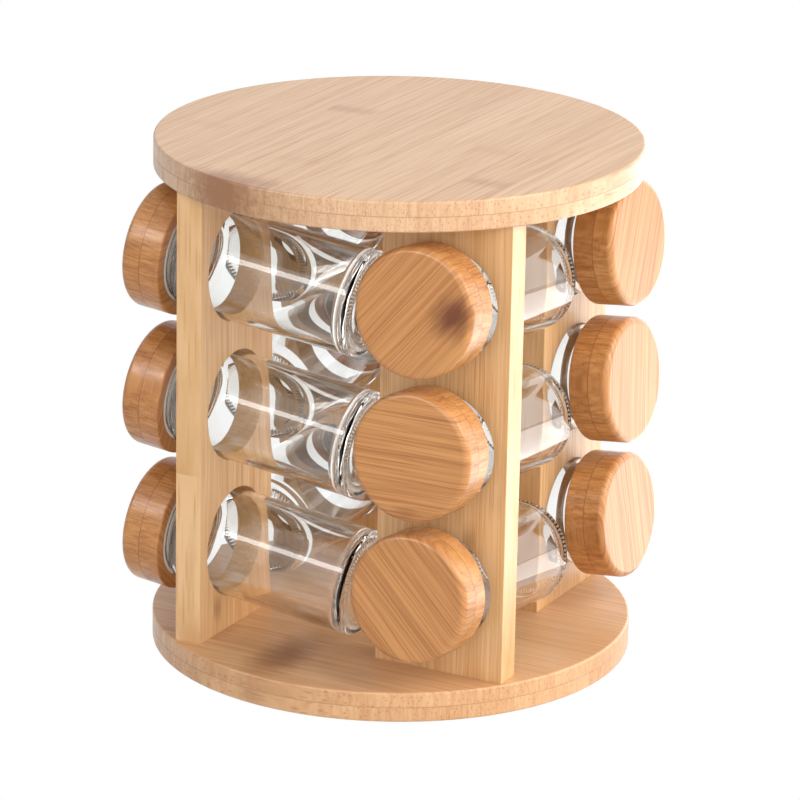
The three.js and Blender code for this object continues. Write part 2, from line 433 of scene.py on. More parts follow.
class Graph(TreeWriter):
    """A small writer of shader nodes."""

    def __init__(self, name: str) -> None:
        """Starts an empty material.

        Args:
            name: The material's name.
        """
        self.material = bpy.data.materials.new(name)
        self.material.use_nodes = True
        self.tree = self.material.node_tree
        self.tree.nodes.clear()
        self.shader = self.tree.nodes.new("ShaderNodeBsdfPrincipled")
        self.output = self.tree.nodes.new("ShaderNodeOutputMaterial")
        self.tree.links.new(self.shader.outputs[0], self.output.inputs["Surface"])

    def vector(self, operation: str, *values: object) -> bpy.types.NodeSocket:
        """Adds a Vector Math node.

        Args:
            operation: The node's operation.
            values: Its inputs.

        Returns:
            Its vector output, or its value for a length.
        """
        node = self.tree.nodes.new("ShaderNodeVectorMath")
        node.operation = operation
        for socket, value in zip(node.inputs, values):
            self.put(socket, value)
        return node.outputs["Value" if operation == "LENGTH" else "Vector"]

    def scaled(self, source: bpy.types.NodeSocket, factor: float) -> bpy.types.NodeSocket:
        """Scales a vector by one number.

        Args:
            source: The vector.
            factor: The number.

        Returns:
            The scaled vector.
        """
        node = self.tree.nodes.new("ShaderNodeVectorMath")
        node.operation = "SCALE"
        self.put(node.inputs[0], source)
        self.put(node.inputs["Scale"], factor)
        return node.outputs["Vector"]

    def attribute(self, name: str) -> bpy.types.NodeSocket:
        """Reads a mesh attribute as a vector."""
        node = self.tree.nodes.new("ShaderNodeAttribute")
        node.attribute_name = name
        return node.outputs["Vector"]

    def place(self) -> bpy.types.NodeSocket:
        """Reads the object's own coordinates."""
        return self.tree.nodes.new("ShaderNodeTexCoord").outputs["Object"]

    def split(self, source: bpy.types.NodeSocket) -> tuple[bpy.types.NodeSocket, ...]:
        """Splits a vector into its three numbers."""
        node = self.tree.nodes.new("ShaderNodeSeparateXYZ")
        self.put(node.inputs[0], source)
        return tuple(node.outputs)

    def noise(
        self, where: bpy.types.NodeSocket, scale: float = 1, detail: float = 2
    ) -> bpy.types.NodeSocket:
        """Adds a Noise texture.

        Args:
            where: The coordinates.
            scale: Its scale.
            detail: Its octaves.

        Returns:
            The noise, about 0.5.
        """
        node = self.tree.nodes.new("ShaderNodeTexNoise")
        node.inputs["Scale"].default_value = scale
        node.inputs["Detail"].default_value = detail
        self.put(node.inputs["Vector"], where)
        return node.outputs["Fac"]

    def dots(self, where: bpy.types.NodeSocket) -> bpy.types.NodeSocket:
        """Adds a Voronoi texture.

        Args:
            where: The coordinates.

        Returns:
            The distance to the nearest cell's centre.
        """
        node = self.tree.nodes.new("ShaderNodeTexVoronoi")
        node.inputs["Scale"].default_value = 1
        self.put(node.inputs["Vector"], where)
        return node.outputs["Distance"]

    def chance(self, where: bpy.types.NodeSocket) -> bpy.types.NodeSocket:
        """Gives a random number for each whole coordinate."""
        node = self.tree.nodes.new("ShaderNodeTexWhiteNoise")
        node.noise_dimensions = "3D"
        self.put(node.inputs["Vector"], where)
        return node.outputs["Value"]

    def fade(
        self, value: object, start: object, end: object, low: float = 0, high: float = 1
    ) -> bpy.types.NodeSocket:
        """Maps a stretch of values smoothly onto another.

        Args:
            value: What is mapped.
            start: Where the stretch starts.
            end: Where it ends.
            low: The result at the start.
            high: The result at the end.

        Returns:
            The mapped value.
        """
        node = self.tree.nodes.new("ShaderNodeMapRange")
        node.interpolation_type = "SMOOTHSTEP"
        names = ("Value", "From Min", "From Max", "To Min", "To Max")
        for name, setting in zip(names, (value, start, end, low, high)):
            self.put(node.inputs[name], setting)
        return node.outputs["Result"]

    def mix(
        self, amount: object, first: object, second: object, blend: str = "MIX"
    ) -> bpy.types.NodeSocket:
        """Mixes two colours.

        Args:
            amount: How much of the second.
            first: The first colour.
            second: The second colour.
            blend: The way they mix.

        Returns:
            The colour.
        """
        node = self.tree.nodes.new("ShaderNodeMix")
        node.data_type = "RGBA"
        node.blend_type = blend
        sockets = [s for s in node.inputs if s.type == "RGBA"]
        self.put(node.inputs[0], amount)
        for socket, colour in zip(sockets, (first, second)):
            self.put(socket, (*colour, 1.0) if isinstance(colour, tuple) else colour)
        return [s for s in node.outputs if s.type == "RGBA"][0]

    def bump(self, height: bpy.types.NodeSocket, distance: float, strength: float = 1) -> None:
        """Raises the surface by a height.

        Args:
            height: The height, 0 to 1.
            distance: How far a height of 1 is, in metres.
            strength: The share of the effect that shows.
        """
        node = self.tree.nodes.new("ShaderNodeBump")
        node.inputs["Distance"].default_value = distance
        node.inputs["Strength"].default_value = strength
        self.put(node.inputs["Height"], height)
        self.tree.links.new(node.outputs[0], self.shader.inputs["Normal"])

    def let_light_through(self, tint: Colour) -> None:
        """Lets some light straight through the surface, so that glass doesn't darken what it covers.

        Light from lamps, light for matt surfaces, and rays that have already met many surfaces pass.
        The rest is refracted.

        Args:
            tint: The colour that the light takes.
        """
        path = self.tree.nodes.new("ShaderNodeLightPath")
        clear = self.tree.nodes.new("ShaderNodeBsdfTransparent")
        clear.inputs["Color"].default_value = (*tint, 1.0)
        mix = self.tree.nodes.new("ShaderNodeMixShader")
        unseen = self.math("MAXIMUM", path.outputs["Is Shadow Ray"], path.outputs["Is Diffuse Ray"])
        trapped = self.math("GREATER_THAN", path.outputs["Ray Depth"], TRAPPED_DEPTH)
        self.put(mix.inputs[0], self.math("MAXIMUM", unseen, trapped))
        self.tree.links.new(self.shader.outputs[0], mix.inputs[1])
        self.tree.links.new(clear.outputs[0], mix.inputs[2])
        self.tree.links.new(mix.outputs[0], self.output.inputs["Surface"])

    def set(self, **settings: object) -> None:
        """Sets the shader's inputs, named in lower case with underscores."""
        for name, value in settings.items():
            socket = self.shader.inputs[name.replace("_", " ").title().replace("Ior", "IOR")]
            if isinstance(value, tuple) and len(value) == 3:
                value = (*value, 1.0)
            self.put(socket, value)


@dataclass(frozen=True)
class FibreLayer:
    """One layer of the streaks that run with the grain.

    Args:
        along: Scale along the grain, in streaks to a millimetre.
        across: Scale across it.
        share: How much the layer adds.
    """

    along: float
    across: float
    share: float


FIBRE_LAYERS = (
    FibreLayer(along=0.010, across=1.15, share=0.42),
    FibreLayer(along=0.006, across=0.32, share=0.30),
    FibreLayer(along=0.03, across=2.6, share=0.36),
)
FIBRE_DEPTH = 0.08  # a layer's scale through the plies, as a share of that across the grain
FIBRE_REACH = 400.0  # how far apart two strips' fibres can start, in millimetres
PLY_REACH = 83.0  # how far apart two plies' strips can start, in millimetres
WANDER = 2.5  # how far a strip wanders across the grain, in millimetres
STRIP_LINE = 0.22  # half width of the line between two strips, in millimetres
GLUE_LINE = 0.30  # half width of the line between two plies, in millimetres
JOINT_LENGTH = 16.0  # the longest half length of a joint of the cane, in millimetres
BAMBOO_RELIEF = 0.05 * MM  # depth of the deepest pore in the lacquer


@dataclass(frozen=True)
class Bamboo:
    """Lacquered laminated bamboo.

    Args:
        name: The material's name.
        light: The paler timber.
        dark: The darker timber.
        knot: The colour of knots and of the joints of the cane.
        strip: Width of a strip, in millimetres.
        ply: Distance between glue lines, in millimetres, from the middle of the piece's thickness.
        knot_size: The knot's half length along and across the grain, in millimetres.
        streaks: How strongly the fibres show.
        dots: How strongly the dark fibre bundles show.
        tones: How much the strips differ.
        joints: How strongly the cane's joints show.
        glue: How strongly the line between two plies shows.
        roughness: The lacquer's roughness.
        joint_spacing: Distance between the joints in one strip, in millimetres.
    """

    name: str
    light: Colour
    dark: Colour
    knot: Colour
    strip: float
    ply: float
    knot_size: tuple[float, float]
    streaks: float = 1.0
    dots: float = 0.4
    tones: float = 0.5
    joints: float = 0.5
    glue: float = 0.5
    roughness: float = 0.42
    joint_spacing: float = 230.0

    def material(self) -> bpy.types.Material:
        """Builds the material.

        Returns:
            A material that reads the timber attributes, so each piece shows its own cut.
        """
        g = Graph(self.name)
        timber = g.scaled(g.attribute(GRAIN), 1 / MM)
        along, across, through = g.split(timber)
        ply = g.math("FLOOR", g.math("DIVIDE", through, self.ply))
        shift = g.math("MULTIPLY", g.chance(g.join(ply, 7.0, 1.0)), PLY_REACH)
        along = g.math("ADD", along, shift)
        bend = g.noise(g.join(g.math("MULTIPLY", along, 0.012), g.math("MULTIPLY", across, 0.04), ply))
        across = g.math("ADD", g.math("ADD", across, shift), g.math("MULTIPLY", bend, WANDER))
        strip = g.math("FLOOR", g.math("DIVIDE", across, self.strip))
        luck = g.chance(g.join(strip, ply, 3.0))
        where = (along, across, through)
        fibres = self._fibres(g, where, luck)
        bundles = self._bundles(g, where)
        tone = g.math("MULTIPLY_ADD", g.math("SUBTRACT", luck, 0.5), self.tones, fibres, clamp=True)
        colour = g.mix(tone, self.light, self.dark)
        colour = g.mix(g.math("MULTIPLY", bundles, self.dots), colour, self.dark, "MULTIPLY")
        # Painted shade: a warm tint, as strong as the piece's shade warmth, stands for the shade and
        # bounced light that the piece sits in.
        colour = g.mix(g.split(g.attribute(SHADE_WARMTH_ATTR))[0], colour, SHADE_WARM_TINT, "MULTIPLY")
        strip_edge = self._line(g, across, self.strip, STRIP_LINE)
        colour = g.mix(g.math("MULTIPLY", strip_edge, 0.35 * self.tones), colour, self.dark)
        glue_line = self._line(g, through, self.ply, GLUE_LINE)
        colour = g.mix(g.math("MULTIPLY", glue_line, self.glue), colour, self.knot)
        colour = g.mix(self._joints(g, where, strip, ply), colour, self.knot)
        colour = g.mix(self._knot(g, timber), colour, self.knot)
        rough = g.fade(fibres, 0, 1, self.roughness - 0.05, self.roughness + 0.12)
        g.set(
            base_color=colour,
            roughness=rough,
            coat_weight=0.4,
            coat_roughness=0.25,
            specular_ior_level=0.25,
        )
        height = g.math("MULTIPLY_ADD", bundles, -0.6, g.math("MULTIPLY", fibres, -0.4))
        g.bump(height, BAMBOO_RELIEF, 0.8)
        return g.material

    def _line(
        self, g: Graph, place: bpy.types.NodeSocket, spacing: float, width: float
    ) -> bpy.types.NodeSocket:
        """Gives thin lines at regular places.

        Args:
            g: The graph.
            place: The place across the lines, in millimetres.
            spacing: Distance between the lines.
            width: Half width of a line.

        Returns:
            The lines, 0 to 1.
        """
        return g.fade(self._distance(g, place, spacing, 0.5), 0.25 * width, width, 1, 0)

    def _distance(
        self, g: Graph, place: bpy.types.NodeSocket, spacing: float, start: object
    ) -> bpy.types.NodeSocket:
        """Gives the distance to the nearest of many regular places.

        Args:
            g: The graph.
            place: The place, in millimetres.
            spacing: Distance between two of them.
            start: Where in a stretch the place counts from, as a share of the spacing.

        Returns:
            The distance in millimetres.
        """
        cycle = g.math("FRACT", g.math("ADD", g.math("DIVIDE", place, spacing), start))
        return g.math("MULTIPLY", g.math("ABSOLUTE", g.math("SUBTRACT", cycle, 0.5)), spacing)

    def _fibres(
        self, g: Graph, where: tuple[bpy.types.NodeSocket, ...], luck: bpy.types.NodeSocket
    ) -> bpy.types.NodeSocket:
        """Gives the streaks that run with the grain.

        Args:
            g: The graph.
            where: The place along, across and through the grain, in millimetres.
            luck: The strip's random number.

        Returns:
            The streaks, about 0 to 1.
        """
        along, across, through = where
        start = g.math("MULTIPLY_ADD", luck, FIBRE_REACH, along)
        total: object = 0.4 - 0.5 * self.streaks
        for layer in FIBRE_LAYERS:
            scales = (layer.along, layer.across, FIBRE_DEPTH * layer.across)
            place = self._scaled(g, (start, across, through), scales)
            streaks = g.fade(g.noise(place, detail=3), 0.36, 0.66)
            total = g.math("MULTIPLY_ADD", streaks, layer.share * self.streaks, total)
        return total

    def _scaled(
        self, g: Graph, where: tuple[bpy.types.NodeSocket, ...], scales: tuple[float, ...]
    ) -> bpy.types.NodeSocket:
        """Scales a place along, across and through the grain, each by its own number."""
        return g.join(*(g.math("MULTIPLY", value, factor) for value, factor in zip(where, scales)))

    def _bundles(self, g: Graph, where: tuple[bpy.types.NodeSocket, ...]) -> bpy.types.NodeSocket:
        """Gives the dark fibre bundles, which are fine dashes on a face and dots on an end.

        Args:
            g: The graph.
            where: The place along, across and through the grain, in millimetres.

        Returns:
            The bundles, 0 to 1.
        """
        return g.fade(g.dots(self._scaled(g, where, (0.025, 1.25, 0.6))), 0.08, 0.42, 1, 0)

    def _joints(
        self,
        g: Graph,
        where: tuple[bpy.types.NodeSocket, ...],
        strip: bpy.types.NodeSocket,
        ply: bpy.types.NodeSocket,
    ) -> bpy.types.NodeSocket:
        """Gives the darker joints of the cane, one here and there in each strip.

        Args:
            g: The graph.
            where: The place along, across and through the grain, in millimetres.
            strip: The strip's number.
            ply: The ply's number.

        Returns:
            How much of the joint's colour shows.
        """
        along, across, through = where
        start = g.chance(g.join(strip, ply, 11.0))
        strength = g.math("POWER", g.chance(g.join(strip, ply, 17.0)), 2.0)
        distance = self._distance(g, along, self.joint_spacing, start)
        place = g.join(g.math("MULTIPLY", along, 0.08), g.math("MULTIPLY", across, 0.35), through)
        ragged = g.noise(place, detail=4)
        band = g.fade(distance, 0.0, g.math("MULTIPLY", ragged, JOINT_LENGTH), 1, 0)
        return g.math("MULTIPLY", band, g.math("MULTIPLY", strength, self.joints), clamp=True)

    def _knot(self, g: Graph, timber: bpy.types.NodeSocket) -> bpy.types.NodeSocket:
        """Gives the piece's own dark knot.

        Args:
            g: The graph.
            timber: The place in the timber, in millimetres.

        Returns:
            How much of the knot's colour shows.
        """
        length, width = self.knot_size
        gap = g.vector("SUBTRACT", timber, g.scaled(g.attribute(KNOT), 1 / MM))
        fine = g.noise(g.vector("MULTIPLY", timber, (0.08, 0.4, 0.4)), detail=4)
        ragged = g.math("SUBTRACT", fine, 0.5)
        distance = g.vector("LENGTH", g.vector("MULTIPLY", gap, (1 / length, 1 / width, 1 / width)))
        distance = g.math("MULTIPLY_ADD", ragged, 1.0, distance)
        return g.fade(distance, 0.1, 1.35, 1, 0)


@dataclass(frozen=True)
class Glass:
    """Clear pressed glass.

    Args:
        name: The material's name.
        tint: The colour that the glass lets through.
        shade: The colour that a surface leaves to lamp light.
        wave: How far the pressed surface wanders, in metres.
    """

    name: str
    tint: Colour
    shade: Colour
    wave: float

    def material(self) -> bpy.types.Material:
        """Builds the material."""
        g = Graph(self.name)
        ripple = g.noise(g.place(), scale=90, detail=1)
        g.set(base_color=self.tint, roughness=0.0, ior=1.5, transmission_weight=1.0)
        g.bump(ripple, self.wave, 0.5)
        g.let_light_through(self.shade)
        return g.material


@dataclass(frozen=True)
class Plastic:
    """Moulded plastic, rubber or foam.

    Args:
        name: The material's name.
        colour: Its colour.
        shade: The colour of its darker patches.
        roughness: Its roughness.
        grain: How many marks there are to a metre.
        relief: How deep they are, in metres.
    """

    name: str
    colour: Colour
    shade: Colour
    roughness: float
    grain: float
    relief: float

    def material(self) -> bpy.types.Material:
        """Builds the material."""
        g = Graph(self.name)
        marks = g.noise(g.place(), scale=self.grain, detail=4)
        patches = g.noise(g.place(), scale=self.grain / 25, detail=2)
        rough = g.fade(marks, 0.3, 0.7, self.roughness - 0.06, self.roughness + 0.06)
        g.set(base_color=g.mix(g.fade(patches, 0.35, 0.7), self.colour, self.shade), roughness=rough)
        g.bump(marks, self.relief)
        return g.material


@dataclass(frozen=True)
class PlatedSteel:
    """Pressed steel with a zinc plating.

    Args:
        name: The material's name.
        colour: The plating's colour.
        shade: The colour of duller patches.
    """

    name: str
    colour: Colour
    shade: Colour

    def material(self) -> bpy.types.Material:
        """Builds the material."""
        g = Graph(self.name)
        place = g.place()
        brushed = g.noise(g.vector("MULTIPLY", place, (900.0, 900.0, 4000.0)), detail=3)
        dull = g.noise(place, scale=60, detail=5)
        g.set(
            base_color=g.mix(g.fade(dull, 0.4, 0.65), self.colour, self.shade),
            metallic=1.0,
            roughness=g.fade(brushed, 0.3, 0.7, 0.24, 0.42),
        )
        g.bump(brushed, 0.01 * MM)
        return g.material


@dataclass
class Finishes:
    """Every material of the carousel, built once."""

    board: bpy.types.Material = field(init=False)
    upright: bpy.types.Material = field(init=False)
    cap: bpy.types.Material = field(init=False)
    glass: bpy.types.Material = field(init=False)
    lining: bpy.types.Material = field(init=False)
    seal: bpy.types.Material = field(init=False)
    steel: bpy.types.Material = field(init=False)
    rubber: bpy.types.Material = field(init=False)

    def __post_init__(self) -> None:
        """Builds the materials."""
        brown = (0.16, 0.042, 0.010)
        self.board = Bamboo(
            name="bamboo_board",
            light=(0.73, 0.48, 0.29),
            dark=(0.52, 0.28, 0.14),
            knot=(0.33, 0.15, 0.065),
            strip=19.0,
            ply=6.5,
            knot_size=(11.0, 28.0),
            streaks=0.65,
            tones=0.3,
            joints=0.7,
            glue=0.5,
        ).material()
        self.upright = Bamboo(
            name="bamboo_upright",
            light=(0.81, 0.52, 0.265),
            dark=(0.62, 0.33, 0.12),
            knot=brown,
            strip=5.5,
            ply=60.0,
            knot_size=(3.5, 2.5),
            streaks=0.9,
            tones=0.4,
            joints=0.4,
            glue=0.0,
        ).material()
        self.cap = Bamboo(
            name="bamboo_cap",
            light=(0.63, 0.295, 0.100),
            dark=(0.34, 0.12, 0.030),
            knot=brown,
            strip=21.0,
            ply=9.0,
            knot_size=(10.0, 9.0),
            streaks=0.95,
            dots=0.22,
            tones=0.35,
            joints=0.4,
            glue=0.5,
            roughness=0.36,
        ).material()
        self.glass = Glass(
            name="clear_glass",
            tint=(0.985, 0.995, 0.99),
            shade=(0.95, 0.94, 0.93),
            wave=0.03 * MM,
        ).material()
        self.lining = Plastic(
            name="cap_lining_plastic",
            colour=(0.84, 0.84, 0.80),
            shade=(0.78, 0.77, 0.72),
            roughness=0.4,
            grain=9000,
            relief=0.01 * MM,
        ).material()
        self.seal = Plastic(
            name="seal_foam",
            colour=(0.82, 0.82, 0.78),
            shade=(0.72, 0.72, 0.68),
            roughness=0.8,
            grain=6000,
            relief=0.05 * MM,
        ).material()
        self.steel = PlatedSteel(
            name="plated_steel",
            colour=(0.70, 0.71, 0.72),
            shade=(0.52, 0.53, 0.55),
        ).material()
        self.rubber = Plastic(
            name="foot_rubber",
            colour=(0.025, 0.025, 0.027),
            shade=(0.05, 0.05, 0.05),
            roughness=0.75,
            grain=5000,
            relief=0.05 * MM,
        ).material()


# ------------------------------------------------------------------------------------------------
# Repeated details, made with geometry nodes
# ------------------------------------------------------------------------------------------------


class NodeRecipe(TreeWriter):
    """A geometry node tree with named inputs, and a way to make a plain mesh with it."""

    def __init__(self, name: str, inputs: dict[str, float]) -> None:
        """Starts a tree.

        Args:
            name: The tree's name.
            inputs: Its inputs and what they are when nothing else is asked. A whole number is a count.
        """
        self.tree = bpy.data.node_groups.new(name, "GeometryNodeTree")
        self.tree.interface.new_socket("Geometry", in_out="INPUT", socket_type="NodeSocketGeometry")
        self.identifiers: dict[str, str] = {}
        for label, value in inputs.items():
            kind = "NodeSocketInt" if isinstance(value, int) else "NodeSocketFloat"
            socket = self.tree.interface.new_socket(label, in_out="INPUT", socket_type=kind)
            socket.default_value = value
            self.identifiers[label] = socket.identifier
        self.tree.interface.new_socket("Geometry", in_out="OUTPUT", socket_type="NodeSocketGeometry")
        self.start = self.tree.nodes.new("NodeGroupInput")
        self.end = self.tree.nodes.new("NodeGroupOutput")

    def node(
        self, kind: str, settings: dict[str, object] | None = None, **values: object
    ) -> bpy.types.Node:
        """Adds a node.

        Args:
            kind: The node's type, without GeometryNode before it unless it is a function node.
            settings: Its properties.
            values: Its inputs, named in lower case with underscores.

        Returns:
            The node.
        """
        made = self.tree.nodes.new(kind if kind.startswith("Function") else "GeometryNode" + kind)
        for name, value in (settings or {}).items():
            setattr(made, name, value)
        for name, value in values.items():
            wanted = name.replace("_", " ").lower()
            socket = next(s for s in made.inputs if s.name.lower() == wanted and s.enabled)
            self.put(socket, value)
        return made

    def given(self, label: str) -> bpy.types.NodeSocket:
        """Gives the output of one of the tree's named inputs."""
        return self.start.outputs[label]

    def close(self, geometry: object, material: bpy.types.Material) -> None:
        """Ends the tree in real geometry with a material.

        Args:
            geometry: The node or socket that holds the result.
            material: Its material.
        """
        real = self.node("RealizeInstances", geometry=geometry)
        smooth_faces = self.node("SetShadeSmooth", geometry=real)
        dressed = self.node("SetMaterial", geometry=smooth_faces, material=material)
        self.put(self.end.inputs[0], dressed)

    def make(self, name: str, **inputs: float) -> bpy.types.Mesh:
        """Runs the tree.

        Args:
            name: The mesh's name.
            inputs: Values of the named inputs.

        Returns:
            The plain mesh.
        """
        work = put_in_scene(name + "_work", bpy.data.meshes.new(name + "_work"))
        modifier = work.modifiers.new("recipe", "NODES")
        modifier.node_group = self.tree
        for label, value in inputs.items():
            modifier[self.identifiers[label]] = value
        return baked(work, name)


def stipple_recipe(glass: bpy.types.Material) -> NodeRecipe:
    """Makes the ring of small ridges that a jar stands on.

    Args:
        glass: The jar's material.

    Returns:
        A tree with the inputs count, ring, length, width and height.
    """
    r = NodeRecipe(
        "stipple_ring",
        {"count": 64, "ring": 16.0 * MM, "length": 2.0 * MM, "width": 0.8 * MM, "height": 0.5 * MM},
    )
    circle = r.node("MeshCircle", vertices=r.given("count"), radius=r.given("ring"))
    bead = r.node("MeshIcoSphere", radius=1.0, subdivisions=2)
    lean = r.node("FunctionNodeAlignEulerToVector", {"axis": "X"}, vector=r.node("InputPosition"))
    ridges = r.node(
        "InstanceOnPoints",
        points=circle,
        instance=bead,
        rotation=lean,
        scale=r.join(r.given("length"), r.given("width"), r.given("height")),
    )
    r.close(ridges, glass)
    return r


def thread_recipe(name: str, material: bpy.types.Material) -> NodeRecipe:
    """Makes a screw thread as a round ridge along a helix.

    Args:
        name: The tree's name.
        material: The thread's material.

    Returns:
        A tree with the inputs turns, radius, rise and ridge.
    """
    r = NodeRecipe(name, {"turns": 1.4, "radius": 18.0 * MM, "rise": 5.8 * MM, "ridge": 0.6 * MM})
    helix = r.node(
        "CurveSpiral",
        resolution=64,
        rotations=r.given("turns"),
        start_radius=r.given("radius"),
        end_radius=r.given("radius"),
        height=r.given("rise"),
    )
    section = r.node("CurvePrimitiveCircle", resolution=10, radius=r.given("ridge"))
    ridge = r.node("CurveToMesh", curve=helix, profile_curve=section, fill_caps=True)
    r.close(ridge, material)
    return r


def ball_recipe(steel: bpy.types.Material) -> NodeRecipe:
    """Makes the bearing's ring of balls.

    Args:
        steel: The balls' material.

    Returns:
        A tree with the inputs count, ring, ball and height.
    """
    r = NodeRecipe(
        "bearing_balls", {"count": 14, "ring": 55.0 * MM, "ball": 1.7 * MM, "height": 5.0 * MM}
    )
    circle = r.node("MeshCircle", vertices=r.given("count"), radius=r.given("ring"))
    half_step = r.math("DIVIDE", math.pi, r.given("count"))
    turned_ring = r.node(
        "Transform",
        geometry=circle,
        translation=r.join(z=r.given("height")),
        rotation=r.join(z=half_step),
    )
    ball = r.node("MeshIcoSphere", radius=r.given("ball"), subdivisions=4)
    r.close(r.node("InstanceOnPoints", points=turned_ring, instance=ball), steel)
    return r


def screw_recipe(steel: bpy.types.Material) -> NodeRecipe:
    """Makes a ring of pan-head screws with cross slots, seen from below.

    Args:
        steel: The screws' material.

    Returns:
        A tree with the inputs count, ring, head, rise and height.
    """
    r = NodeRecipe(
        "fixing_screws",
        {"count": 4, "ring": 60.0 * MM, "head": 2.8 * MM, "rise": 1.4 * MM, "height": 3.0 * MM},
    )
    circle = r.node("MeshCircle", vertices=r.given("count"), radius=r.given("ring"))
    points = r.node("Transform", geometry=circle, translation=r.join(z=r.given("height")))
    dome = r.node("MeshUVSphere", segments=24, rings=12, radius=1.0)
    shape = r.join(r.given("head"), r.given("head"), r.given("rise"))
    head = r.node("Transform", geometry=dome, scale=shape)
    slot_width = r.math("MULTIPLY", r.given("head"), 0.28)
    slot_length = r.math("MULTIPLY", r.given("head"), 1.1)
    deep = r.math("MULTIPLY", r.given("rise"), 1.2)
    sink = r.math("MULTIPLY", r.given("rise"), -1.0)
    cutter = r.node("MeshBoolean", {"operation": "UNION"})
    slotted = r.node("MeshBoolean", {"operation": "DIFFERENCE"})
    for size in ((slot_length, slot_width), (slot_width, slot_length)):
        cube = r.node("MeshCube", size=r.join(*size, deep))
        bar = r.node("Transform", geometry=cube, translation=r.join(z=sink))
        r.tree.links.new(bar.outputs[0], cutter.inputs["Mesh 2"])
    r.tree.links.new(head.outputs[0], slotted.inputs["Mesh 1"])
    r.tree.links.new(cutter.outputs[0], slotted.inputs["Mesh 2"])
    r.close(r.node("InstanceOnPoints", points=points, instance=slotted), steel)
    return r


# ------------------------------------------------------------------------------------------------
# The rack
# ------------------------------------------------------------------------------------------------


@dataclass
class RoundBoards:
    """The two round boards, each of two plies with a fine line between them.

    Args:
        finishes: The materials.
        edge: Rounding of the rim's edges.
        line: Size of the groove between the plies.
        housing_gap: Room around an upright's end in its housing.
        housing_ease: Width of the eased edges of a housing.
        facets: Facets around the rim.
    """

    finishes: Finishes
    edge: float = 0.9 * MM
    line: float = 0.12 * MM
    housing_gap: float = 0.15 * MM
    housing_ease: float = 0.1 * MM
    facets: int = 256

    def build(self) -> None:
        """Builds both boards."""
        # The base gets full painted shade, a warmer tint for the shade it sits in under the jars and
        # top board; the top gets none.
        self._board("base_disc", "round_base", 0.0, Vector((-9.0, -70.0, 12.0)) * MM, shade_warmth=1.0)
        self._board("top_disc", "round_top", math.pi / 2, Vector((-26.0, -91.0, 7.0)) * MM, shade_warmth=0.0)

    def _profile(self, radius: float, thickness: float) -> Profile:
        """Gives the rim's section, from the middle of the underside round to the middle of the top."""
        middle = thickness / 2
        return [
            (0.0, 0.0),
            *arc((radius - self.edge, self.edge), self.edge, -90, 0, 5),
            (radius, middle - self.line),
            (radius - self.line, middle),
            (radius, middle + self.line),
            *arc((radius - self.edge, thickness - self.edge), self.edge, 0, 90, 5),
            (0.0, thickness),
        ]

    def _board(self, node: str, name: str, grain_angle: float, knot: Vector, shade_warmth: float) -> None:
        """Builds one board.

        Args:
            node: The frame's node that it stands for.
            name: The piece's name.
            grain_angle: Direction of the grain, in radians from +X.
            knot: A knot's place in the board, in the frame's axes but from the board's underside.
            shade_warmth: How much painted shade warms its timber's colour.
        """
        low, high = (Vector(c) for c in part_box(node))
        thickness = high.z - low.z
        radius = (high.x - low.x) / 2
        lift = Matrix.Translation((0, 0, low.z))
        plain = turned(self._profile(radius, thickness), self.facets).placed(lift)
        near, far = (Vector(c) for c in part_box("upright_front"))
        gap = Vector((self.housing_gap, self.housing_gap, self.housing_gap))
        housing = box_shape(near - gap, far + gap)
        mesh = carved(name, plain, [housing.placed(side.turn) for side in Side], self.housing_ease)
        sink = Matrix.Translation((0, 0, -low.z - thickness / 2))
        to_grain = Matrix.Rotation(-grain_angle, 4, "Z") @ sink
        write_timber(mesh, to_grain, to_grain @ (knot + Vector((0, 0, low.z))), shade_warmth)
        finish_piece(put_in_scene(name, mesh), "rack", self.finishes.board, [node])


UPRIGHT_STEPS = (0.31, 0.047)  # how far from the last one each upright is cut, along and across
PLY_MIDDLE = 0.030  # takes an upright's middle away from its glue lines


@dataclass
class Uprights:
    """The four uprights, with three holes each.

    Args:
        finishes: The materials.
        hole_radius: Radius of a jar's hole.
        hole_facets: Facets around a hole.
        ease: Width of the eased edges.
    """

    finishes: Finishes
    hole_radius: float = 21.9 * MM
    hole_facets: int = 128
    ease: float = 0.55 * MM

    def build(self, crossings: Sequence[Vector]) -> None:
        """Builds all four.

        Args:
            crossings: Where each tier's jar axis crosses the front upright's middle.
        """
        low, high = (Vector(c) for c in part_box("upright_front"))
        depth = high.y - low.y
        side_line = ((self.hole_radius, -depth), (self.hole_radius, depth))
        rod = turned([(0.0, -depth), *side_line, (0.0, depth)], self.hole_facets)
        to_hole = Matrix.Rotation(math.pi / 2, 4, "X")
        holes = [rod.placed(Matrix.Translation(p) @ to_hole) for p in crossings]
        pattern = carved("upright_pattern", box_shape(low, high), holes, self.ease)
        middle = (low + high) / 2
        # The fibres run up, and the plies lie one behind another through the board's thickness.
        axes = Matrix(((0, 0, 1, 0), (1, 0, 0, 0), (0, 1, 0, 0), (0, 0, 0, 1)))
        for number, side in enumerate(Side):
            mesh = pattern.copy()
            mesh.name = f"board_{side.label}"
            mesh.transform(side.turn)
            shift = Matrix.Translation((*(step * number for step in UPRIGHT_STEPS), PLY_MIDDLE))
            to_grain = shift @ axes @ Matrix.Translation(-middle) @ side.turn.inverted()
            write_timber(mesh, to_grain)
            finish_piece(
                put_in_scene(f"board_{side.label}", mesh),
                "rack",
                self.finishes.upright,
                [f"upright_{side.label}"],
            )
        bpy.data.meshes.remove(pattern)


# ------------------------------------------------------------------------------------------------
# Jars and caps
# ------------------------------------------------------------------------------------------------


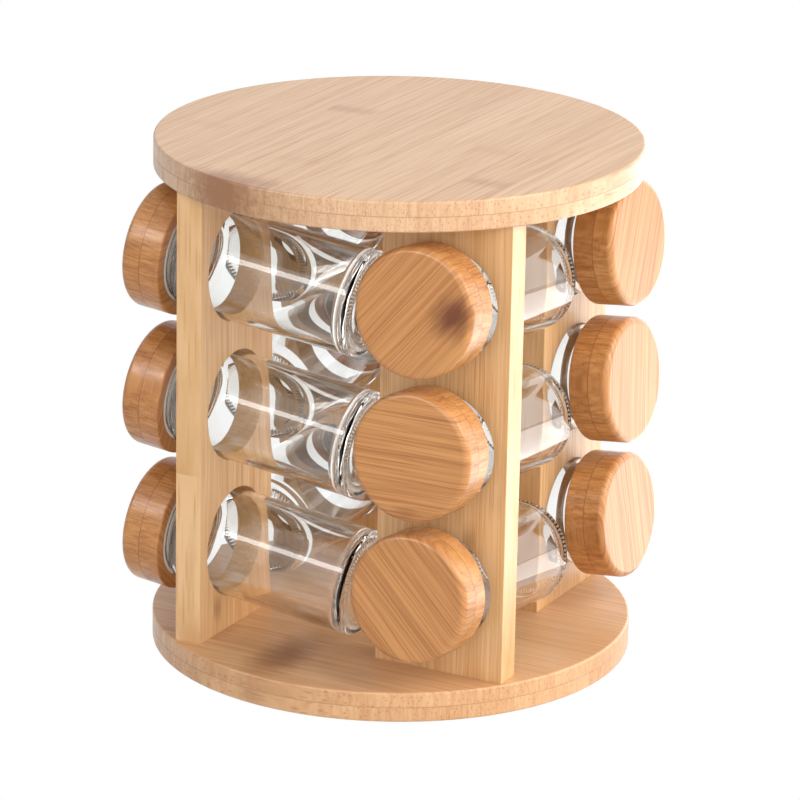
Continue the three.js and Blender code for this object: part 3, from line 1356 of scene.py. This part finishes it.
@dataclass(frozen=True)
class JarSizes:
    """Sizes of a jar and its cap, with heights from the jar's underside along its axis.

    Args:
        crossing: Height at which the axis crosses the middle of the upright.
        radius: Outside of the body.
        wall: Thickness of the body's wall.
        base: Thickness of the bottom.
        heel: Outer rounding of the bottom.
        inner_heel: Inner rounding of the bottom.
        stand: How far the stippled ring lifts the bottom.
        punt: Depth of the hollow in the underside.
        body_top: Height at which the shoulder starts.
        neck_base: Height at which the neck starts.
        mouth: Height of the mouth.
        neck_radius: Outside of the neck.
        neck_wall: Thickness of the neck.
        cap_radius: Outside of the cap.
        cap_rim: Height of the cap's open end.
        cap_face: Height of the cap's outer face.
        cap_edge: Rounding of the face's edge.
        bore_radius: Inside of the cap.
        bore_floor: Height of the end of the cap's bore.
        lining_radius: Outside of the plastic lining.
        lining_wall: Its thickness.
        seal_low: Height of the seal's underside.
        seal_thickness: Its thickness.
        pitch: Rise of the thread in one turn.
        thread_turns: How many turns it has.
        thread_start: How far above the foot of the neck it starts.
        neck_ridge: Radius of the neck's thread.
        lining_ridge: Radius of the lining's thread.
        stipple_inset: How far inside the heel the ring of ridges runs.
        stipple_length: Half length of a ridge.
        stipple_width: Half width of a ridge.
        stipple_height: Half height of a ridge.
    """

    crossing: float = 64.8 * MM
    radius: float = 21.0 * MM
    wall: float = 2.0 * MM
    base: float = 4.2 * MM
    heel: float = 2.1 * MM
    inner_heel: float = 2.4 * MM
    stand: float = 0.4 * MM
    punt: float = 1.3 * MM
    body_top: float = 75.6 * MM
    neck_base: float = 79.9 * MM
    mouth: float = 90.0 * MM
    neck_radius: float = 17.6 * MM
    neck_wall: float = 2.2 * MM
    cap_radius: float = 25.0 * MM
    cap_rim: float = 80.3 * MM
    cap_face: float = 97.3 * MM
    cap_edge: float = 2.6 * MM
    bore_radius: float = 19.75 * MM
    bore_floor: float = 92.3 * MM
    lining_radius: float = 19.6 * MM
    lining_wall: float = 1.1 * MM
    seal_low: float = 90.1 * MM
    seal_thickness: float = 0.9 * MM
    pitch: float = 4.2 * MM
    thread_turns: float = 1.15
    thread_start: float = 3.2 * MM
    neck_ridge: float = 0.4 * MM
    lining_ridge: float = 0.35 * MM
    stipple_inset: float = 1.6 * MM
    stipple_length: float = 1.7 * MM
    stipple_width: float = 0.5 * MM
    stipple_height: float = 0.55 * MM


@dataclass(frozen=True)
class CapGrain:
    """How one cap is cut from its timber.

    Args:
        angle: Direction of the face's grain, in degrees anticlockwise from level, seen from outside.
        shift: Where in the timber it is cut, along and across the grain.
        knot: A knot's place on the face, to the right and up, or None.
    """

    angle: float
    shift: tuple[float, float]
    knot: tuple[float, float] | None = None


@dataclass
class Jars:
    """Twelve jars with their caps, linings and seals.

    Args:
        finishes: The materials.
        sizes: Sizes of a jar and cap.
        facets: Facets around a jar.
        cap_facets: Facets around a cap.
        stipples: Ridges in the ring that a jar stands on.
    """

    finishes: Finishes
    sizes: JarSizes = JarSizes()
    facets: int = 128
    cap_facets: int = 128
    stipples: int = 72

    def grains(self) -> dict[tuple[Side, Tier], CapGrain]:
        """Says how each cap is cut.

        Returns:
            The cut of each cap. Caps with none of their own get one from a fixed sequence.
        """
        chosen = {
            (Side.FRONT, Tier.TOP): CapGrain(50.0, (0.02, 0.0045), (17.0 * MM, 1.0 * MM)),
            (Side.FRONT, Tier.MIDDLE): CapGrain(1.0, (0.11, 0.031)),
            (Side.FRONT, Tier.BOTTOM): CapGrain(-44.0, (0.21, 0.052)),
            (Side.RIGHT, Tier.TOP): CapGrain(62.0, (0.31, 0.075)),
            (Side.RIGHT, Tier.MIDDLE): CapGrain(80.0, (0.41, 0.093)),
            (Side.RIGHT, Tier.BOTTOM): CapGrain(96.0, (0.51, 0.117)),
        }
        rest = [(s, t) for s in Side for t in Tier if (s, t) not in chosen]
        for number, key in enumerate(rest):
            angle = (number * 67.0 + 20.0) % 180.0
            chosen[key] = CapGrain(angle, (0.61 + 0.1 * number, 0.137 + 0.023 * number))
        return chosen

    def build(self, places: dict[tuple[Side, Tier], Matrix]) -> None:
        """Builds every jar.

        Args:
            places: The placement of each jar, from its own upright frame.
        """
        glass = turned(self._glass_profile(), self.facets)
        cap = turned(self._cap_profile(), self.cap_facets)
        lining = turned(self._lining_profile(), self.facets)
        seal = turned(self._seal_profile(), self.facets)
        stipple = stipple_recipe(self.finishes.glass)
        neck_thread = thread_recipe("neck_thread", self.finishes.glass)
        lining_thread = thread_recipe("lining_thread", self.finishes.lining)
        grains = self.grains()
        for (side, tier), place in places.items():
            key = f"{side.label}_{tier.value}"
            jar, lid = f"jar_{key}", f"lid_{key}"
            pad, liner = f"seal_{key}", f"lining_{key}"
            made = self.finishes
            self._plain(f"glass_{key}", glass, place, jar, made.glass, jar)
            ridges = self._stipples(stipple, key)
            self._detail(f"stipple_{key}", ridges, place, jar)
            outer = self._neck_thread(neck_thread, key)
            self._detail(f"neck_thread_{key}", outer, place, jar)
            self._plain(f"seal_pad_{key}", seal, place, pad, made.seal, pad)
            self._plain(f"liner_{key}", lining, place, lid, made.lining, liner)
            inner = self._lining_thread(lining_thread, key)
            self._detail(f"liner_thread_{key}", inner, place, lid)
            self._cap(f"cap_{key}", cap, place, lid, grains[side, tier])

    def _glass_profile(self) -> Profile:
        """Gives a jar's section, from the middle of its underside to that of its inner floor."""
        s = self.sizes
        inside = s.radius - s.wall
        mouth = s.neck_radius - s.neck_wall
        flat = s.radius - s.heel
        lip = 0.9 * MM
        bead = 0.7 * MM
        shoulder_drop = s.neck_base - s.body_top
        shoulder_run = s.radius - s.neck_radius
        outer_shoulder = [
            (
                s.radius - shoulder_run * (1 - math.cos(a)) * 0.55,
                s.body_top + shoulder_drop * 0.62 * math.sin(a),
            )
            for a in (math.radians(90 * i / 8) for i in range(9))
        ]
        neck_fillet = [
            (
                s.neck_radius + shoulder_run * 0.45 * (1 - math.sin(a)),
                s.neck_base - shoulder_drop * 0.38 * math.cos(a),
            )
            for a in (math.radians(90 * i / 6) for i in range(1, 7))
        ]
        inner_shoulder = [
            (
                inside + (mouth - inside) * t * t * (3 - 2 * t),
                s.body_top - 1.6 * MM + (shoulder_drop + 1.2 * MM) * t,
            )
            for t in (i / 10 for i in range(11))
        ]
        return [
            (0.0, s.punt),
            (0.4 * flat, 0.94 * s.punt),
            (0.62 * flat, 0.75 * s.punt),
            (0.78 * flat, s.stand),
            *arc((flat, s.stand + s.heel), s.heel, -90, 0, 10),
            *outer_shoulder,
            *neck_fillet,
            *arc((s.neck_radius, s.neck_base + 1.2 * MM), bead, -90, 90, 6),
            *arc((s.neck_radius - lip, s.mouth - lip), lip, 0, 90, 5),
            *arc((mouth + lip, s.mouth - lip), lip, 90, 180, 5),
            *reversed(inner_shoulder),
            *arc((inside - s.inner_heel, s.base + s.inner_heel), s.inner_heel, 0, -90, 10),
            (0.5 * inside, s.base + 0.1 * MM),
            (0.0, s.base + 0.4 * MM),
        ]

    def _cap_profile(self) -> Profile:
        """Gives a cap's section, from the middle of its bore's end round to the middle of its face."""
        s = self.sizes
        rim = 0.8 * MM
        return [
            (0.0, s.bore_floor),
            (s.bore_radius, s.bore_floor),
            (s.bore_radius, s.cap_rim + 0.4 * MM),
            (s.bore_radius + 0.4 * MM, s.cap_rim),
            *arc((s.cap_radius - rim, s.cap_rim + rim), rim, -90, 0, 5),
            *arc((s.cap_radius - s.cap_edge, s.cap_face - s.cap_edge), s.cap_edge, 0, 90, 10),
            (0.0, s.cap_face),
        ]

    def _lining_profile(self) -> Profile:
        """Gives the plastic lining's section."""
        s = self.sizes
        inside = s.lining_radius - s.lining_wall
        rim = s.cap_rim + 0.1 * MM
        ceiling = s.seal_low + s.seal_thickness + 0.1 * MM
        soft = 0.35 * MM
        return [
            (0.0, ceiling),
            (inside - soft, ceiling),
            (inside, ceiling - soft),
            *arc((inside + soft, rim + soft), soft, 180, 270, 3),
            *arc((s.lining_radius - soft, rim + soft), soft, -90, 0, 3),
            (s.lining_radius, ceiling + s.lining_wall),
            (0.0, ceiling + s.lining_wall),
        ]

    def _seal_profile(self) -> Profile:
        """Gives the sealing disc's section, with the ring that the mouth presses into it."""
        s = self.sizes
        top = s.seal_low + s.seal_thickness
        soft = 0.2 * MM
        edge = s.neck_radius - 0.1 * MM
        press = s.neck_radius - s.neck_wall / 2
        dent = 0.12 * MM
        return [
            (0.0, s.seal_low),
            (press - 1.1 * MM, s.seal_low),
            (press - 0.7 * MM, s.seal_low + dent),
            (press + 0.6 * MM, s.seal_low + dent),
            (press + 0.9 * MM, s.seal_low),
            (edge - soft, s.seal_low),
            (edge, s.seal_low + soft),
            (edge, top - soft),
            (edge - soft, top),
            (0.0, top),
        ]

    def _stipples(self, recipe: NodeRecipe, key: str) -> bpy.types.Mesh:
        """Makes the ridges of one jar's underside."""
        s = self.sizes
        mesh = recipe.make(
            f"stipple_{key}",
            count=self.stipples,
            ring=s.radius - s.heel - s.stipple_inset,
            length=s.stipple_length,
            width=s.stipple_width,
            height=s.stipple_height,
        )
        mesh.transform(Matrix.Translation((0, 0, s.stipple_height)))
        return mesh

    def _neck_thread(self, recipe: NodeRecipe, key: str) -> bpy.types.Mesh:
        """Makes one neck's thread."""
        s = self.sizes
        name = f"neck_thread_{key}"
        return self._thread(recipe, name, s.neck_radius, s.neck_ridge, s.neck_base + s.thread_start)

    def _lining_thread(self, recipe: NodeRecipe, key: str) -> bpy.types.Mesh:
        """Makes one lining's thread, which lies between the turns of the neck's."""
        s = self.sizes
        inside = s.lining_radius - s.lining_wall
        start = s.neck_base + s.thread_start - s.pitch / 2
        return self._thread(recipe, f"liner_thread_{key}", inside, s.lining_ridge, start)

    def _thread(
        self, recipe: NodeRecipe, name: str, radius: float, ridge: float, start: float
    ) -> bpy.types.Mesh:
        """Makes a thread.

        Args:
            recipe: The thread's node tree.
            name: The mesh's name.
            radius: Radius of the helix.
            ridge: Radius of the ridge.
            start: Height at which it starts.

        Returns:
            The thread on its own axis.
        """
        s = self.sizes
        rise = s.thread_turns * s.pitch
        mesh = recipe.make(name, turns=s.thread_turns, radius=radius, rise=rise, ridge=ridge)
        mesh.transform(Matrix.Translation((0, 0, start)))
        return mesh

    def _plain(
        self,
        name: str,
        shape: Shape,
        place: Matrix,
        body: str,
        material: bpy.types.Material,
        node: str,
    ) -> None:
        """Places a turned piece.

        Args:
            name: The piece's name.
            shape: Its shape on its own axis.
            place: The jar's placement.
            body: The body that it moves with.
            material: Its material.
            node: The node that it stands for.
        """
        finish_piece(put_in_scene(name, shape.placed(place).mesh(name)), body, material, [node])

    def _detail(self, name: str, mesh: bpy.types.Mesh, place: Matrix, body: str) -> None:
        """Places a detail that already has its material.

        Args:
            name: The piece's name.
            mesh: Its mesh on its own axis.
            place: The jar's placement.
            body: The body that it moves with.
        """
        mesh.transform(place)
        finish_piece(put_in_scene(name, mesh), body, None)

    def _cap(self, name: str, shape: Shape, place: Matrix, body: str, grain: CapGrain) -> None:
        """Places a cap and cuts it from its timber.

        Args:
            name: The piece's name.
            shape: A cap on its own axis.
            place: The jar's placement.
            body: The body that it moves with.
            grain: How it is cut.
        """
        mesh = shape.placed(place).mesh(name)
        shift = Matrix.Translation((*grain.shift, 0.0))
        middle = Matrix.Translation((0, 0, -(self.sizes.cap_face + self.sizes.cap_rim) / 2))
        turn = Matrix.Rotation(-math.radians(grain.angle), 4, "Z")
        to_grain = shift @ turn @ middle @ place.inverted()
        knot = NO_KNOT
        if grain.knot:
            knot = to_grain @ place @ Vector((*grain.knot, self.sizes.cap_face))
        write_timber(mesh, to_grain, knot)
        finish_piece(put_in_scene(name, mesh), body, self.finishes.cap, [body])


# ------------------------------------------------------------------------------------------------
# Turntable
# ------------------------------------------------------------------------------------------------


@dataclass
class Turntable:
    """The ring bearing under the base, with its rubber foot ring and fixing screws.

    Args:
        finishes: The materials.
        ball: Radius of a ball.
        balls: How many there are.
        ring: Radius of the circle of their centres.
        play: Room between a ball and its grooves.
        band: Thickness of the band that spaces them.
        band_height: Its height.
        band_ease: Rounding of its edges.
        race_width: Width of the lower ring, out to the lip of its groove.
        groove_opening: Half the angle of a groove, in degrees.
        foot_width: Width of the rubber foot ring.
        screws: How many fixing screws there are.
        screw_head: Radius of a screw's head.
        screw_rise: Height of a screw's head.
        screw_shift: How far outside the upper ring's middle the screws are.
        ease: Rounding of the rings' edges.
        facets: Facets around.
    """

    finishes: Finishes
    ball: float = 1.7 * MM
    balls: int = 14
    ring: float = 55.0 * MM
    play: float = 0.15 * MM
    band: float = 1.0 * MM
    band_height: float = 2.4 * MM
    band_ease: float = 0.2 * MM
    race_width: float = 8.0 * MM
    groove_opening: float = 60.0
    foot_width: float = 7.0 * MM
    screws: int = 4
    screw_head: float = 2.6 * MM
    screw_rise: float = 0.9 * MM
    screw_shift: float = 0.7 * MM
    ease: float = 0.5 * MM
    facets: int = 192

    def build(self) -> None:
        """Builds the turntable."""
        foot_low, foot_high = (Vector(c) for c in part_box("foot_ring"))
        cage_low, cage_high = (Vector(c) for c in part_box("bearing_ball_cage"))
        centre = (cage_low.z + cage_high.z) / 2
        steel = self.finishes.steel
        self._race("bearing_lower_ring", "lower_race", "turntable_base", centre, -1)
        self._race("bearing_upper_ring", "upper_race", "rack", centre, 1)
        outer = foot_high.x
        inner = outer - self.foot_width
        foot = self._ring_section(inner, outer, foot_low.z, foot_high.z, self.ease)
        rubber = self.finishes.rubber
        self._piece("rubber_foot", foot, "turntable_base", rubber, ["foot_ring"])
        half = self.band / 2
        rise = self.band_height / 2
        band = self._ring_section(
            self.ring - half, self.ring + half, centre - rise, centre + rise, self.band_ease
        )
        self._piece("ball_band", band, "ball_cage", steel, ["bearing_ball_cage"])
        balls = ball_recipe(steel).make(
            "balls", count=self.balls, ring=self.ring, ball=self.ball, height=centre
        )
        finish_piece(put_in_scene("balls", balls), "ball_cage", None)
        low, high = (Vector(c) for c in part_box("bearing_upper_ring"))
        screws = screw_recipe(steel).make(
            "screws",
            count=self.screws,
            ring=(self.ring + high.x) / 2 + self.screw_shift,
            head=self.screw_head,
            rise=self.screw_rise,
            height=low.z,
        )
        finish_piece(put_in_scene("screws", screws), "rack", None)

    def _ring_section(
        self, inner: float, outer: float, low: float, high: float, ease: float
    ) -> Profile:
        """Gives a ring's section with rounded corners, as a closed outline."""
        outline = [
            *arc((inner + ease, low + ease), ease, 180, 270, 3),
            *arc((outer - ease, low + ease), ease, -90, 0, 3),
            *arc((outer - ease, high - ease), ease, 0, 90, 3),
            *arc((inner + ease, high - ease), ease, 90, 180, 3),
        ]
        return [*outline, outline[0]]

    def _race(self, node: str, name: str, body: str, centre: float, side: int) -> None:
        """Builds one ring of the bearing, with the groove that the balls run in.

        Args:
            node: The frame's node.
            name: The piece's name.
            body: The body that it moves with.
            centre: Height of the balls' centres.
            side: 1 for the ring outside the balls, -1 for the one inside them.
        """
        low, high = (Vector(c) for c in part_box(node))
        reach = self.ball + self.play
        opening = math.radians(self.groove_opening)
        lip = self.ring + side * reach * math.cos(opening)
        far = high.x if side > 0 else lip - self.race_width
        angles = [opening * (1 - i / 6) for i in range(13)]
        groove = [
            (self.ring + side * reach * math.cos(a), centre + side * reach * math.sin(a))
            for a in angles
        ]
        e = self.ease
        if side > 0:
            outline = [
                (lip, low.z),
                *arc((far - e, low.z + e), e, -90, 0, 3),
                *arc((far - e, high.z - e), e, 0, 90, 3),
                (lip, high.z),
                *groove,
            ]
        else:
            outline = [
                (lip, high.z),
                *arc((far + e, high.z - e), e, 90, 180, 3),
                *arc((far + e, low.z + e), e, 180, 270, 3),
                (lip, low.z),
                *groove,
            ]
        self._piece(name, [*outline, outline[0]], body, self.finishes.steel, [node])

    def _piece(
        self,
        name: str,
        section: Profile,
        body: str,
        material: bpy.types.Material,
        nodes: Sequence[str],
    ) -> None:
        """Turns a section and places it.

        Args:
            name: The piece's name.
            section: Its closed section.
            body: The body that it moves with.
            material: Its material.
            nodes: The nodes that it stands for.
        """
        mesh = turned(section, self.facets).mesh(name)
        finish_piece(put_in_scene(name, mesh), body, material, nodes)


# ------------------------------------------------------------------------------------------------
# Studio
# ------------------------------------------------------------------------------------------------


@dataclass(frozen=True)
class Softbox:
    """One soft light.

    Args:
        name: Its name.
        azimuth: Its direction from the object, in degrees from -Y towards +X.
        elevation: Its height above the horizon, in degrees.
        distance: How far it is from the object's middle.
        size: Its width and height.
        power: Its power in watts.
        colour: Its colour.
        on_floor: Whether it lies on the floor, facing up.
        sheen_only: Whether it only shows in shiny surfaces.
        matt_only: Whether it never shows in them.
    """

    name: str
    azimuth: float
    elevation: float
    distance: float
    size: tuple[float, float]
    power: float
    colour: Colour = (1.0, 1.0, 1.0)
    on_floor: bool = False
    sheen_only: bool = False
    matt_only: bool = False

    def build(self, target: Vector) -> None:
        """Puts the light in the scene.

        Args:
            target: What it points at.
        """
        data = bpy.data.lights.new(self.name, "AREA")
        data.shape = "RECTANGLE"
        data.size, data.size_y = self.size
        data.energy = self.power
        data.color = self.colour
        lamp = bpy.data.objects.new(self.name, data)
        bpy.context.scene.collection.objects.link(lamp)
        back = direction(self.azimuth, self.elevation)
        lamp.location = target + back * self.distance
        lamp.rotation_euler = back.to_track_quat("Z", "Y").to_euler()
        lamp.visible_camera = False
        lamp.visible_transmission = False
        if self.on_floor:
            lamp.location.z = 1.0 * MM
            lamp.rotation_euler = (math.pi, 0.0, math.radians(self.azimuth))
        lamp.visible_diffuse = not self.sheen_only
        lamp.visible_glossy = not self.matt_only


def seen_share(tree: bpy.types.NodeTree) -> bpy.types.NodeSocket:
    """Gives 1 for rays from the camera, on their own or after glass or a mirroring surface.

    Args:
        tree: The node tree that gets the nodes.

    Returns:
        The share, 0 or 1.
    """
    path = tree.nodes.new("ShaderNodeLightPath")
    share: bpy.types.NodeSocket = path.outputs["Is Camera Ray"]
    for other in ("Is Transmission Ray", "Is Glossy Ray"):
        either = tree.nodes.new("ShaderNodeMath")
        either.operation = "MAXIMUM"
        tree.links.new(share, either.inputs[0])
        tree.links.new(path.outputs[other], either.inputs[1])
        share = either.outputs[0]
    return share


def direction(azimuth: float, elevation: float) -> Vector:
    """Gives the unit vector from the object towards a viewer.

    Args:
        azimuth: Degrees from -Y towards +X.
        elevation: Degrees above the horizon.

    Returns:
        The vector.
    """
    a, e = math.radians(azimuth), math.radians(elevation)
    return Vector((math.sin(a) * math.cos(e), -math.cos(a) * math.cos(e), math.sin(e)))


@dataclass
class Studio:
    """The pale floor, the lights and the camera.

    Args:
        azimuth: The camera's direction, in degrees from -Y towards +X.
        elevation: Its height above the horizon, in degrees.
        roll: Its roll, in degrees.
        distance: How far it is from the rack's middle.
        lens: Its focal length in millimetres.
        sensor: Its sensor's width in millimetres.
        shift: Its shift, as shares of the picture's width.
        world_light: How strongly the white world lights what matt surfaces show.
        floor_size: Width of the floor.
        softboxes: The lights.
    """

    azimuth: float = 28.12
    elevation: float = 18.0
    roll: float = 1.07
    distance: float = 1.7835
    lens: float = 203.6
    sensor: float = 36.0
    shift: tuple[float, float] = (0.00635, -0.0146)
    world_light: float = 0.40
    floor_size: float = 12.0
    softboxes: tuple[Softbox, ...] = (
        Softbox("key", 92.0, 34.0, 1.3, (0.8, 0.8), 12.0, (1.0, 0.985, 0.96)),
        Softbox("sheen", 150.0, 10.0, 1.6, (2.6, 1.6), 30.0, matt_only=True),
        Softbox("glow", 150.0, 10.0, 1.5, (2.45, 1.5), 13.0, sheen_only=True),
        Softbox("card", 152.0, 0.0, 0.55, (1.0, 0.8), 6.5, on_floor=True, sheen_only=True),
        Softbox("strip", -32.0, 32.0, 1.3, (0.9, 0.2), 6.0, sheen_only=True),
        Softbox("halo", -32.0, 32.0, 1.4, (1.2, 0.5), 2.0, sheen_only=True),
        Softbox("front", 12.0, 30.0, 1.3, (0.9, 0.9), 4.3),
        Softbox("fill", 40.0, 18.0, 1.6, (1.2, 0.9), 9.0, matt_only=True),
    )

    def build(self) -> None:
        """Builds the studio around the rack."""
        low = Vector(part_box("base_disc")[0])
        high = Vector(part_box("top_disc")[1])
        middle = Vector((0.0, 0.0, (low.z + high.z) / 2))
        self._world()
        self._floor()
        for softbox in self.softboxes:
            softbox.build(middle)
        self._camera(middle)

    def _camera(self, target: Vector) -> None:
        """Makes the camera and gives it to the scene."""
        data = bpy.data.cameras.new("camera")
        data.lens = self.lens
        data.sensor_width = self.sensor
        data.shift_x, data.shift_y = self.shift
        data.clip_start, data.clip_end = 0.05, 50.0
        camera = bpy.data.objects.new("camera", data)
        bpy.context.scene.collection.objects.link(camera)
        back = direction(self.azimuth, self.elevation)
        camera.location = target + back * self.distance
        roll = Matrix.Rotation(math.radians(self.roll), 3, "Z")
        turn = back.to_track_quat("Z", "Y").to_matrix() @ roll
        camera.rotation_euler = turn.to_euler()
        bpy.context.scene.camera = camera

    def _world(self) -> None:
        """Makes a white world, dimmer as a light than as a background."""
        world = bpy.data.worlds.new("studio")
        world.use_nodes = True
        bpy.context.scene.world = world
        tree = world.node_tree
        tree.nodes.clear()
        output = tree.nodes.new("ShaderNodeOutputWorld")
        seen = tree.nodes.new("ShaderNodeBackground")
        seen.inputs["Color"].default_value = (1, 1, 1, 1)
        seen.inputs["Strength"].default_value = 1.0
        light = tree.nodes.new("ShaderNodeBackground")
        light.inputs["Color"].default_value = (0.97, 0.98, 1.0, 1)
        light.inputs["Strength"].default_value = self.world_light
        mix = tree.nodes.new("ShaderNodeMixShader")
        tree.links.new(seen_share(tree), mix.inputs[0])
        tree.links.new(light.outputs[0], mix.inputs[1])
        tree.links.new(seen.outputs[0], mix.inputs[2])
        tree.links.new(mix.outputs[0], output.inputs["Surface"])
        bpy.context.scene.view_settings.view_transform = "Standard"

    def _floor(self) -> None:
        """Makes a wide pale floor."""
        half = self.floor_size / 2
        corners = [(-half, -half, 0), (half, -half, 0), (half, half, 0), (-half, half, 0)]
        mesh = bpy.data.meshes.new("floor")
        mesh.from_pydata(corners, [], [(0, 1, 2, 3)])
        floor = put_in_scene("floor", mesh)
        g = Graph("pale_floor")
        g.set(base_color=(0.6, 0.6, 0.6), roughness=0.8)
        white = g.tree.nodes.new("ShaderNodeEmission")
        mix = g.tree.nodes.new("ShaderNodeMixShader")
        g.put(mix.inputs[0], seen_share(g.tree))
        g.tree.links.new(g.shader.outputs[0], mix.inputs[1])
        g.tree.links.new(white.outputs[0], mix.inputs[2])
        g.tree.links.new(mix.outputs[0], g.output.inputs["Surface"])
        mesh.materials.append(g.material)


# ------------------------------------------------------------------------------------------------
# Everything in order
# ------------------------------------------------------------------------------------------------


def jar_placement(axis: Vector, crossing_point: Vector, crossing_height: float) -> Matrix:
    """Gives the matrix that takes a jar from its own axis to its place in the rack.

    Args:
        axis: The jar's axis, out through the cap.
        crossing_point: Where the axis crosses the middle of the upright.
        crossing_height: How far along the jar's axis that is from its underside.

    Returns:
        The placement. Its X is to the right seen from outside, and its Y is up.
    """
    outwards = axis.normalized()
    up = Vector((0, 0, 1))
    up = (up - outwards * up.dot(outwards)).normalized()
    right = up.cross(outwards)
    turn = Matrix((right, up, outwards)).transposed().to_4x4()
    return Matrix.Translation(crossing_point - outwards * crossing_height) @ turn


def read_places(
    frame: dict, crossing_height: float
) -> tuple[dict[tuple[Side, Tier], Matrix], list[Vector]]:
    """Reads where the jars are from the frame's joints.

    Args:
        crossing_height: How far along a jar's axis its crossing with the upright is.

    Returns:
        The placement of each jar, and where each tier's axis crosses the front upright, bottom first.
    """
    joints = {joint["name"]: joint for joint in frame["joints"]}
    places: dict[tuple[Side, Tier], Matrix] = {}
    crossings: list[Vector] = []
    for side in Side:
        for tier in Tier:
            joint = joints[f"lid_{side.label}_{tier.value}_turn"]
            point = Vector(joint["pos_m"])
            places[side, tier] = jar_placement(Vector(joint["axis"]), point, crossing_height)
            if side is Side.FRONT:
                crossings.append(point)
    return places, crossings


def main() -> None:
    """Builds the carousel and its studio."""
    logging.basicConfig(level=logging.INFO, format="%(name)s: %(message)s")
    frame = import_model()
    finishes = Finishes()
    jars = Jars(finishes)
    places, crossings = read_places(frame, jars.sizes.crossing)
    RoundBoards(finishes).build()
    Uprights(finishes).build(crossings)
    jars.build(places)
    Turntable(finishes).build()
    Studio().build()


if __name__ == "__main__":
    main()
